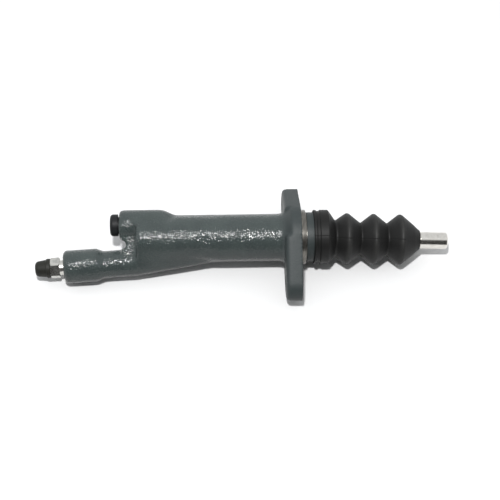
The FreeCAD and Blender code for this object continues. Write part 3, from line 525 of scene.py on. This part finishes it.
@dataclass
class Boot:
    """The moulded bellows: a cuff on the snout, three folds and a lip on the rod.

    Lengths run along the rod from the centre of its ball. A point at length s lies on a line
    that leaves the ball along the bore axis and bends down to the rod's droop between the cuff
    and the first valley; rings stand square to that line.
    """

    ball: Vector = field(default_factory=lambda: Vector((-12 * MM, 0, 0)))
    droop: float = DROOP
    cuff_start: float = 19.5 * MM
    cuff_end: float = 28.2 * MM
    cuff_radius: float = 15.85 * MM
    snout_radius: float = 14.62 * MM
    groove_radius: float = 13.32 * MM
    groove: tuple[float, float] = (21.1 * MM, 24.5 * MM)
    mouth_radius: float = 14.0 * MM
    first_valley: float = 32.4 * MM
    first_valley_radius: float = 10.5 * MM
    valley_radius: float = 9.45 * MM
    crest_radius: float = 15.6 * MM
    first_crest: float = 39.6 * MM
    pitch: float = 15.9 * MM
    valley_lead: float = 8.1 * MM
    wall: float = 1.2 * MM
    shoulder: float = 79.4 * MM
    shoulder_radius: float = 9.2 * MM
    nose: float = 83.2 * MM
    lip_radius: float = 6.2 * MM
    rod_radius: float = 4.78 * MM
    parting: float = 59.6 * MM
    swing_end: float = 69.0 * MM
    slide_start: float = 13.0 * MM
    bead: float = 2.0 * MM
    clip_groove: float = 3.7 * MM
    clip_depth: float = 0.6 * MM
    crest_round: float = 2.0 * MM
    valley_round: float = 1.0 * MM
    inset_share: float = 0.4
    crest_highlight_band: float = 2.6 * MM
    outer_step: float = 0.45 * MM
    inner_step: float = 1.2 * MM
    least_step: float = 0.02 * MM
    seam_turn: float = math.radians(-34.6)
    sides: int = 180

    def crest(self, number: int) -> float:
        """The length at which one crest stands, counted from 0."""
        return self.first_crest + number * self.pitch

    def slope_radius(self) -> float:
        """The outer radius where the two spans meet, on the straight slope behind a crest."""
        start = self.crest(1)
        share = (self.parting - start) / self.valley_lead
        return self.crest_radius + share * (self.valley_radius - self.crest_radius)

    def cuff_line(self) -> list[Triple]:
        """Corners of the cuff's outside, with a bead at its front and a clip groove behind it."""
        start, top, low = self.cuff_start, self.cuff_radius, self.cuff_radius - self.clip_depth
        front, rear = start + self.bead, start + self.clip_groove
        return [(start, self.snout_radius, 0), (start, top - 0.5 * MM, 0.15 * MM),
                (start + 0.35 * MM, top, 0.3 * MM), (front - 0.3 * MM, top, 0.35 * MM),
                (front, low, 0.2 * MM), (rear - 0.2 * MM, low, 0.2 * MM),
                (rear + 0.2 * MM, top, 0.4 * MM), (self.cuff_end, top, 0.9 * MM)]

    def folds(self, inset: float, crests: range) -> list[Triple]:
        """Corners of crests and the valleys behind them, drawn in by an inset."""
        corners = []
        for number in crests:
            at, ease = self.crest(number), self.inset_share * inset
            corners.append((at, self.crest_radius - inset, self.crest_round - ease))
            if number < 2:
                corners.append((at + self.valley_lead, self.valley_radius - inset,
                                self.valley_round + ease))
        return corners

    def outside(self, span: Span) -> np.ndarray:
        """The outer line of one span, from its front to its rear."""
        if span is Span.SLIDING:
            first = (self.first_valley, self.first_valley_radius, 1.2 * MM)
            folds = [c for c in self.folds(0, range(2)) if c[0] < self.parting]
            corners = [*self.cuff_line(), first, *folds, (self.parting, self.slope_radius(), 0)]
        else:
            folds = [c for c in self.folds(0, range(1, 3)) if c[0] > self.parting]
            corners = [(self.parting, self.slope_radius(), 0), *folds,
                       (self.shoulder, self.shoulder_radius, 3.6 * MM),
                       (self.nose - 1.0 * MM, self.lip_radius + 0.4 * MM, 0.5 * MM),
                       (self.nose, self.lip_radius - 0.2 * MM, 0.3 * MM),
                       (self.nose, self.rod_radius, 0)]
        return rounded_line(corners)

    def inside(self, span: Span) -> np.ndarray:
        """The inner line of one span, from its rear back to its front."""
        inset = self.wall
        if span is Span.SLIDING:
            folds = [c for c in self.folds(inset, range(2)) if c[0] < self.parting]
            corners = [(self.parting, self.slope_radius() - inset, 0), *folds[::-1],
                       (self.first_valley, self.first_valley_radius - inset, 1.0 * MM),
                       (self.cuff_end - 0.4 * MM, self.mouth_radius, 0.6 * MM),
                       (self.groove[1] + 1.6 * MM, self.snout_radius, 0.3 * MM),
                       (self.groove[1], self.snout_radius, 0),
                       (self.groove[1], self.groove_radius, 0),
                       (self.groove[0], self.groove_radius, 0),
                       (self.groove[0], self.snout_radius, 0)]
        else:
            folds = [c for c in self.folds(inset, range(1, 3)) if c[0] > self.parting]
            corners = [(self.nose - 2.4 * MM, self.rod_radius, 0),
                       (self.shoulder - 0.8 * MM, self.shoulder_radius - inset, 2.0 * MM),
                       *folds[::-1], (self.parting, self.slope_radius() - inset, 0)]
        return rounded_line(corners)

    def ring_points(self, line: np.ndarray, round_the_axis: np.ndarray) -> np.ndarray:
        """Carries a profile round the bending axis.

        With a(s) rising smoothly from 0 at the cuff to the droop at the first valley, the centre
        at length s is ball + s (cos a, 0, -sin a), and a point at radius r and angle t is that
        centre plus r (cos t * up + sin t * across), with up square to the line in the XZ plane.

        Args:
            line: (length, radius) pairs of shape (n, 2).
            round_the_axis: the angles t.

        Returns:
            Points of shape (n, angles, 3).
        """
        along, radius = line[:, 0], line[:, 1]
        share = np.clip((along - self.cuff_end) / (self.first_valley - self.cuff_end), 0, 1)
        tilt = self.droop * share * share * (3 - 2 * share)
        zero = np.zeros_like(tilt)
        out = np.stack([np.cos(tilt), zero, -np.sin(tilt)], -1)
        up = np.stack([np.sin(tilt), zero, np.cos(tilt)], -1)
        across = np.array([0.0, 1.0, 0.0])
        centre = np.array(self.ball) + along[:, None] * out
        cos, sin = np.cos(round_the_axis), np.sin(round_the_axis)
        spokes = up[:, None, :] * cos[None, :, None] + across * sin[None, :, None]
        return centre[:, None, :] + radius[:, None, None] * spokes

    def resampled(self, line: np.ndarray, step: float) -> np.ndarray:
        """The same line with long runs divided, so that no run is much longer than a step."""
        length = np.concatenate([[0], np.cumsum(np.linalg.norm(np.diff(line, axis=0), axis=1))])
        extra = np.arange(0, length[-1], step)
        stops = np.unique(np.concatenate([length, extra]).round(7))
        stops = stops[np.concatenate([[True], np.diff(stops) > self.least_step])]
        return np.stack([np.interp(stops, length, line[:, i]) for i in range(2)], -1)

    def build_span(self, span: Span) -> bpy.types.Object:
        """Builds one closed span, shaded smoothly, with its crest and seam marks."""
        outside = self.resampled(self.outside(span), self.outer_step)
        inside = self.resampled(self.inside(span), self.inner_step)
        line = np.concatenate([outside, inside])
        angles = self.seam_turn + np.linspace(0, 2 * math.pi, self.sides, endpoint=False)
        grid = self.ring_points(line, angles)
        outer = np.arange(len(line)) < len(outside)
        folds = np.array([self.crest(n) for n in range(3)])
        gap = np.abs(line[:, :1] - folds).min(1)
        # crest marks the painted highlight: 1 on each crest's line, fading to 0 a band's width
        # away
        crest = np.clip(1 - gap / self.crest_highlight_band, 0, 1) * outer
        seam = np.abs(np.sin(angles - self.seam_turn)) < 0.5 * math.pi / self.sides
        marks = {"crest": np.repeat(crest[:, None], len(angles), 1),
                 "seam": outer[:, None] * seam[None, :]}
        made = mesh_from_grid(f"dust_boot_{span.name.lower()}", grid, marks)
        smooth(made.data)
        return made

    def build(self, rubber: bpy.types.Material) -> list[bpy.types.Object]:
        """Builds both spans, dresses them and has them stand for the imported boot.

        Args:
            rubber: the moulded rubber's material.

        Returns:
            The two spans.
        """
        made = []
        for span in Span:
            piece = self.build_span(span)
            piece.data.materials.append(rubber)
            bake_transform(piece)
            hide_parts("dust_boot")
            made.append(piece)
            LOG.info("%s: %d faces", piece.name, len(piece.data.polygons))
        return made


@dataclass
class Casting:
    """The cast body: its painted outside is softened like sand-cast iron, its snout stays turned.

    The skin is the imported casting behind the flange's mounting face. It is meshed again on an
    even grid and relaxed, so that every meeting of boss, arm, web, barrel and flange gets the soft
    hollow of a casting, while bores and machined faces keep their place. The snout is a turned
    ring.
    """

    grid: float = 0.57 * MM
    rounds: int = 28
    tilt: float = math.radians(34.6)
    bore: float = 11.6 * MM
    port_line: tuple[float, float] = (8.5 * MM, 6.0 * MM)
    arm_start: float = 96.6 * MM
    arm_offset: float = 13.5 * MM
    arm_slope: float = math.radians(3.0)
    bolt_place: tuple[float, float] = (28.5 * MM, -7.0 * MM)
    bolt_clear: float = 4.9 * MM
    band: float = 0.9 * MM
    face_gap: float = 0.35 * MM
    port_start: float = 90 * MM
    arm_overlap: float = 8 * MM
    beyond: float = 1.0
    cutter: tuple[float, float] = (40 * MM, 60 * MM)
    sides: int = 160
    joint: float = -1.5 * MM
    inner: float = 10.32 * MM
    spigot: tuple[float, float] = (2.8 * MM, 16.0 * MM)
    relief: tuple[float, float] = (3.4 * MM, 14.0 * MM)
    land: tuple[float, float] = (9.0 * MM, 14.5 * MM)
    boot_groove: tuple[float, float] = (12.6 * MM, 13.2 * MM)
    lip: tuple[float, float] = (14.6 * MM, 13.9 * MM)
    lip_bevel: float = 0.6 * MM
    mouth_bevel: float = 1.2 * MM
    ring_groove: tuple[float, float] = (8.45 * MM, 9.65 * MM)
    ring_groove_radius: float = 11.22 * MM
    fine_round: float = 0.1 * MM
    plain_round: float = 0.2 * MM

    def snout_line(self) -> list[Triple]:
        """Corners of the snout's section as (along, radius, rounding), round its outline."""
        fine, plain = self.fine_round, self.plain_round
        (spigot_end, spigot), (relief_end, relief) = self.spigot, self.relief
        (land_end, land), (groove_end, groove), (end, lip) = self.land, self.boot_groove, self.lip
        first, last = self.ring_groove
        return [(self.joint, self.inner, 0), (self.joint, spigot, 0),
                (spigot_end, spigot, 0.3 * MM), (spigot_end, relief, fine),
                (relief_end, relief, fine), (relief_end, land, 0.15 * MM), (land_end, land, fine),
                (land_end, groove, plain), (groove_end, groove, plain),
                (groove_end, lip, fine), (end - self.lip_bevel, lip, plain),
                (end, lip - self.lip_bevel, plain), (end, self.inner + self.mouth_bevel, fine),
                (end - self.mouth_bevel, self.inner, fine), (last, self.inner, 0),
                (last, self.ring_groove_radius, 0), (first, self.ring_groove_radius, 0),
                (first, self.inner, 0)]

    def build_snout(self) -> bpy.types.Object:
        """The turned ring: x along the bore, y = r cos t, z = r sin t for each section point."""
        corners = self.snout_line()
        line = rounded_line([*corners, corners[0]], 5)[:-1]
        turn = np.linspace(0, 2 * math.pi, self.sides, endpoint=False)
        along = np.repeat(line[:, :1], self.sides, 1)
        grid = np.stack([along, line[:, 1:] * np.cos(turn), line[:, 1:] * np.sin(turn)], -1)
        return mesh_from_grid("casting_snout", grid[::-1], {})

    def freedom(self, points: np.ndarray) -> np.ndarray:
        """1 on the painted outside, fading to 0 on bores, holes and the mounting face."""
        x, y, z = points.T
        up = np.array([math.cos(self.tilt), math.sin(self.tilt)])
        level, side = y * up[0] + z * up[1], -y * up[1] + z * up[0]
        run = -x - self.arm_start
        port = np.hypot(level - self.port_line[0], side)
        arm = np.hypot(level + self.arm_offset + run * math.tan(self.arm_slope), side)
        bolts = np.hypot(np.abs(y) - self.bolt_place[0], z - self.bolt_place[1])
        room = [np.hypot(y, z) - self.bore, -x - self.face_gap, bolts - self.bolt_clear,
                np.where(x < -self.port_start, port - self.port_line[1], self.beyond),
                np.where(run > -self.arm_overlap, arm - self.port_line[1], self.beyond)]
        return np.clip(np.min(room, 0) / self.band, 0, 1)

    def build_skin(self) -> bpy.types.Object:
        """Cuts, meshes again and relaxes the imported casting."""
        rough = bpy.data.objects.new("casting_source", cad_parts["cylinder_body"].data.copy())
        block = bpy.data.meshes.new("casting_cut")
        depth, half = self.cutter
        cube = [(x, y, z) for x in (0, depth) for y in (-half, half) for z in (-half, half)]
        block.from_pydata(cube, [], [
            (0, 1, 3, 2), (4, 6, 7, 5), (0, 4, 5, 1), (2, 3, 7, 6), (0, 2, 6, 4), (1, 5, 7, 3)])
        cutter = bpy.data.objects.new("casting_cut", block)
        scene = bpy.context.scene
        for item in (rough, cutter):
            scene.collection.objects.link(item)
        cut = rough.modifiers.new("cut", "BOOLEAN")
        cut.object, cut.operation, cut.solver = cutter, "DIFFERENCE", "EXACT"
        even = rough.modifiers.new("even", "REMESH")
        even.mode, even.voxel_size = "VOXEL", self.grid
        depsgraph = bpy.context.evaluated_depsgraph_get()
        mesh = bpy.data.meshes.new_from_object(rough.evaluated_get(depsgraph))
        for item in (rough, cutter):
            bpy.data.objects.remove(item)
        points = np.empty(len(mesh.vertices) * 3, np.float32)
        mesh.vertices.foreach_get("co", points)
        edges = np.empty(len(mesh.edges) * 2, np.int32)
        mesh.edges.foreach_get("vertices", edges)
        points = points.reshape(-1, 3).astype(float)
        points = relaxed(points, edges.reshape(-1, 2), self.freedom(points), self.rounds)
        mesh.vertices.foreach_set("co", points.astype(np.float32).ravel())
        mesh.materials.clear()
        mesh.update()
        made = bpy.data.objects.new("casting_skin", mesh)
        scene.collection.objects.link(made)
        return made

    def build(self, enamel: bpy.types.Material) -> list[bpy.types.Object]:
        """Builds skin and snout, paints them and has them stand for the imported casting.

        Args:
            enamel: the paint's material.

        Returns:
            The two pieces.
        """
        made = [self.build_skin(), self.build_snout()]
        for piece in made:
            piece.data.materials.append(enamel)
            smooth(piece.data)
            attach(piece, "housing")
            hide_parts("cylinder_body")
            LOG.info("%s: %d faces", piece.name, len(piece.data.polygons))
        return made


@dataclass
class Hardware:
    """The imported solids, each with its finish."""

    droop: float = DROOP

    def finishes(self) -> dict[str, bpy.types.Material]:
        """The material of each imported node, by the node's name."""
        enamel = CastEnamel().material()
        zinc = PlatedSteel("bright_zinc_plate", (0.66, 0.65, 0.61), (0.45, 0.45, 0.43),
                           roughness=0.2, haze=0.1, lay=(1, 8, 8), depth=0.004 * MM).material()
        ground = PlatedSteel("ground_rod_steel", (0.72, 0.70, 0.66), (0.62, 0.60, 0.56),
                             roughness=0.15, haze=0.05, lay=(9, 1, 1), turn=(0, self.droop, 0),
                             scratch=0.5 * MM, depth=0.003 * MM).material()
        alloy = PlatedSteel("turned_piston_alloy", (0.72, 0.72, 0.70), (0.52, 0.52, 0.51),
                            lay=(10, 1, 1)).material()
        dull = PlatedSteel("dull_zinc_pressing", (0.60, 0.59, 0.55), (0.40, 0.39, 0.36),
                           roughness=0.34).material()
        wire = PlatedSteel("oiled_spring_wire", (0.30, 0.30, 0.31), (0.16, 0.16, 0.17),
                           roughness=0.3).material()
        cup = Rubber("smooth_seal_rubber", roughness=0.4, depth=0.006 * MM).material()
        cap = Rubber("cap_rubber", tone=(0.016, 0.016, 0.013), bloom_and_highlight=(0.045, 0.045, 0.037),
                     roughness=0.5).material()
        plug = Plastic("black_plug_plastic").material()
        return {"cylinder_body": enamel, "bleed_screw": zinc, "pushrod": ground, "piston": alloy,
                "cup_washer": dull, "spring_seat": dull, "retaining_ring": dull,
                "return_spring": wire, "primary_cup": cup, "secondary_cup": cup,
                "bleed_cap": cap, "port_plug": plug}

    def build(self) -> dict[str, bpy.types.Material]:
        """Puts each finish on its node.

        Returns:
            The finish of each node, by the node's name.
        """
        finishes = self.finishes()
        for name, material in finishes.items():
            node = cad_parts[name]
            node.data.materials.clear()
            node.data.materials.append(material)
            LOG.info("%s: %s", name, material.name)
        return finishes


@dataclass
class ReturnSpring:
    """The conical spring from the seat to the bore's floor, which shortens with the piston."""

    wire: float = 0.75 * MM
    front: float = -31.85 * MM
    rear: float = -91.20 * MM
    front_radius: float = 4.7 * MM
    rear_radius: float = 8.2 * MM
    turns: float = 8.0
    steps: int = 384
    sides: int = 14
    stroke: float = 22 * MM

    def grid(self) -> np.ndarray:
        """The wire's surface.

        The centre line winds round the bore's axis while its radius grows evenly. Along the axis
        it moves one wire's thickness in each end turn, and the turns between share the rest.
        About each centre point lies a circle across the line's direction: the point, plus the
        wire's radius times (cosine of B times the outward spoke plus sine of B times the side).

        Returns:
            Points of shape (steps + 1, sides, 3), in metres.
        """
        turn = np.linspace(0, self.turns, self.steps + 1)
        closed = np.minimum(turn, 1) + np.maximum(turn - self.turns + 1, 0)
        span = self.rear - self.front + 4 * self.wire
        along = self.front - 2 * self.wire * closed + span * (turn - closed) / (self.turns - 2)
        radius = self.front_radius + (self.rear_radius - self.front_radius) * turn / self.turns
        angle = 2 * math.pi * turn
        centre = np.stack([along, radius * np.cos(angle), radius * np.sin(angle)], -1)
        ahead = np.gradient(centre, axis=0)
        ahead /= np.linalg.norm(ahead, axis=1, keepdims=True)
        spoke = np.stack([np.zeros_like(angle), np.cos(angle), np.sin(angle)], -1)
        side = np.cross(ahead, spoke)
        side /= np.linalg.norm(side, axis=1, keepdims=True)
        spoke = np.cross(side, ahead)
        about = np.linspace(0, 2 * math.pi, self.sides, endpoint=False)[None, :, None]
        circle = np.cos(about) * spoke[:, None] + np.sin(about) * side[:, None]
        return centre[:, None] + self.wire * circle

    def build(self, steel: bpy.types.Material) -> bpy.types.Object:
        """Builds the closed wire and sets it on the housing.

        Args:
            steel: the oiled wire's material.

        Returns:
            The spring.
        """
        grid = self.grid()
        rows, sides = grid.shape[:2]
        index = np.arange(rows * sides).reshape(rows, sides)
        after = np.roll(index, -1, 1)
        quads = np.stack([index[:-1], after[:-1], after[1:], index[1:]], -1).reshape(-1, 4)
        ends = [index[0][::-1].tolist(), index[-1].tolist()]
        mesh = bpy.data.meshes.new("return_spring_wire")
        mesh.from_pydata(grid.reshape(-1, 3).tolist(), [], quads.tolist() + ends)
        smooth(mesh)
        mesh.materials.append(steel)
        piece = bpy.data.objects.new("return_spring_wire", mesh)
        bpy.context.scene.collection.objects.link(piece)
        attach(piece, "housing")
        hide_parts("return_spring")
        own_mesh(piece)
        LOG.info("%s: %d faces", piece.name, len(mesh.polygons))
        return piece


@dataclass
class Studio:
    """The table, the lamp and the camera."""

    table_roll: float = math.radians(5.0)
    table_pitch: float = math.radians(0.4)
    table_size: float = 6.0
    card: Color = (0.79, 0.79, 0.79)
    card_bounce: Color = (0.14, 0.14, 0.14)
    sky: float = 0.88
    sky_tint: Color = (0.97, 0.985, 1.0)
    dim: float = 0.05
    dim_from: float = 0.32
    dim_full: float = 0.62
    lamp_place: Triple = (-0.10, -0.33, 0.95)
    lamp_target: Triple = (-30 * MM, 0, 0)
    lamp_size: tuple[float, float] = (0.06, 0.045)
    lamp_watts: float = 9.0
    azimuth: float = math.radians(-2.8)
    elevation: float = math.radians(55.4)
    roll: float = math.radians(1.4)
    distance: float = 0.80
    image: int = 500
    metres_per_pixel: float = 0.592 * MM
    origin_pixel: tuple[float, float] = (300.2, 236.9)
    sensor: float = 36.0

    def table_frame(self) -> Matrix:
        """The table's own turn: it is tangent to the part, which lies a little rolled on it."""
        return Matrix.Rotation(self.table_roll, 3, "X") @ Matrix.Rotation(self.table_pitch, 3, "Y")

    def table_point(self) -> Vector:
        """The point of the part that lies deepest along the table's normal."""
        normal = np.array(self.table_frame() @ Vector((0, 0, 1)))
        points = [np.array([v.co for v in node.data.vertices]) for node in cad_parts.values()]
        points = np.concatenate(points)
        return Vector(points[(points @ normal).argmin()])

    def build_table(self) -> bpy.types.Object:
        """A wide pale sheet under the part, which keeps the part's shadow."""
        half = self.table_size / 2
        turn, at = self.table_frame(), self.table_point()
        corners = [at + turn @ Vector((x * half, y * half, 0)) for x, y in
                   ((-1, -1), (1, -1), (1, 1), (-1, 1))]
        mesh = bpy.data.meshes.new("table")
        mesh.from_pydata([tuple(c) for c in corners], [], [(0, 1, 2, 3)])
        table = bpy.data.objects.new("table", mesh)
        bpy.context.scene.collection.objects.link(table)
        table.data.materials.append(self.table_material())
        return table

    def table_material(self) -> bpy.types.Material:
        """White card as the camera, mirrors and glass see it, which throws little light up."""
        s = Shader.material("white_card")
        path = s.node("ShaderNodeLightPath")
        seen = path["Is Camera Ray"] + path["Is Glossy Ray"] + path["Is Transmission Ray"]
        dull = s.node("ShaderNodeBsdfDiffuse", None, {"Color": (*self.card_bounce, 1)})
        card = s.node("ShaderNodeBsdfDiffuse", None, {"Color": (*self.card, 1)})
        both = s.node("ShaderNodeMixShader", None, {0: seen, 1: dull["BSDF"], 2: card["BSDF"]})
        s.node("ShaderNodeOutputMaterial", None, {"Surface": both["Shader"]})
        return s.owner

    def build_world(self) -> None:
        """A soft white room, dim on the camera's side, so that polished metal shows its form."""
        bpy.context.scene.world = bpy.data.worlds.new("studio")
        s = Shader(bpy.context.scene.world)
        ahead = s.axes(s.node("ShaderNodeTexCoord")["Generated"])[1]
        light = s.node("ShaderNodeBackground", None,
                       {"Color": (*self.sky_tint, 1), "Strength": self.sky})
        dim = s.node("ShaderNodeBackground", None, {"Color": (1, 1, 1, 1), "Strength": self.dim})
        toward_camera = (ahead * -1).rise(self.dim_from, self.dim_full)
        both = s.node("ShaderNodeMixShader", None,
                      {0: toward_camera, 1: light["Background"], 2: dim["Background"]})
        s.node("ShaderNodeOutputWorld", None, {"Surface": both["Shader"]})

    def build_lamp(self) -> bpy.types.Object:
        """One small panel just above the camera, for the shape and the glints."""
        data = bpy.data.lights.new("key_panel", "AREA")
        data.shape = "RECTANGLE"
        data.size, data.size_y = self.lamp_size
        data.energy = self.lamp_watts
        lamp = bpy.data.objects.new("key_panel", data)
        lamp.location = self.lamp_place
        lamp.rotation_mode = "QUATERNION"
        aim = Vector(self.lamp_target) - Vector(self.lamp_place)
        lamp.rotation_quaternion = aim.to_track_quat("-Z", "Y")
        bpy.context.scene.collection.objects.link(lamp)
        return lamp

    def back_vector(self) -> Vector:
        """The direction from the part to the camera."""
        a, e = self.azimuth, self.elevation
        return Vector((math.sin(a) * math.cos(e), -math.cos(a) * math.cos(e), math.sin(e)))

    def build_camera(self) -> bpy.types.Object:
        """The camera, which shows the row frame's origin at its pixel and scale."""
        back = self.back_vector()
        turn = back.to_track_quat("Z", "Y").to_matrix() @ Matrix.Rotation(self.roll, 3, "Z")
        right, up = turn.col[0], turn.col[1]
        middle = self.image / 2
        aside = (middle - self.origin_pixel[0]) * self.metres_per_pixel
        above = (self.origin_pixel[1] - middle) * self.metres_per_pixel
        target = right * aside + up * above
        data = bpy.data.cameras.new("camera")
        data.sensor_width = self.sensor
        data.lens = self.sensor * self.distance / (self.image * self.metres_per_pixel)
        data.clip_start, data.clip_end = 0.01, 50
        camera = bpy.data.objects.new("camera", data)
        camera.rotation_mode = "QUATERNION"
        camera.rotation_quaternion = turn.to_quaternion()
        camera.location = target + back * self.distance
        bpy.context.scene.collection.objects.link(camera)
        bpy.context.scene.camera = camera
        return camera

    def build(self) -> None:
        """Sets the whole studio and the plain view transform."""
        bpy.context.scene.view_settings.view_transform = "Standard"
        self.build_table()
        self.build_world()
        self.build_lamp()
        self.build_camera()


def main() -> None:
    """Builds the sub-assemblies in order."""
    logging.basicConfig(level=logging.INFO, format="%(message)s")
    Studio().build()
    finishes = Hardware().build()
    Casting().build(finishes["cylinder_body"])
    ReturnSpring().build(finishes["return_spring"])
    boot_rubber = Rubber("boot_rubber_matte", follows_mesh=True).material()
    Boot().build(boot_rubber)


if __name__ == "__main__":
    main()
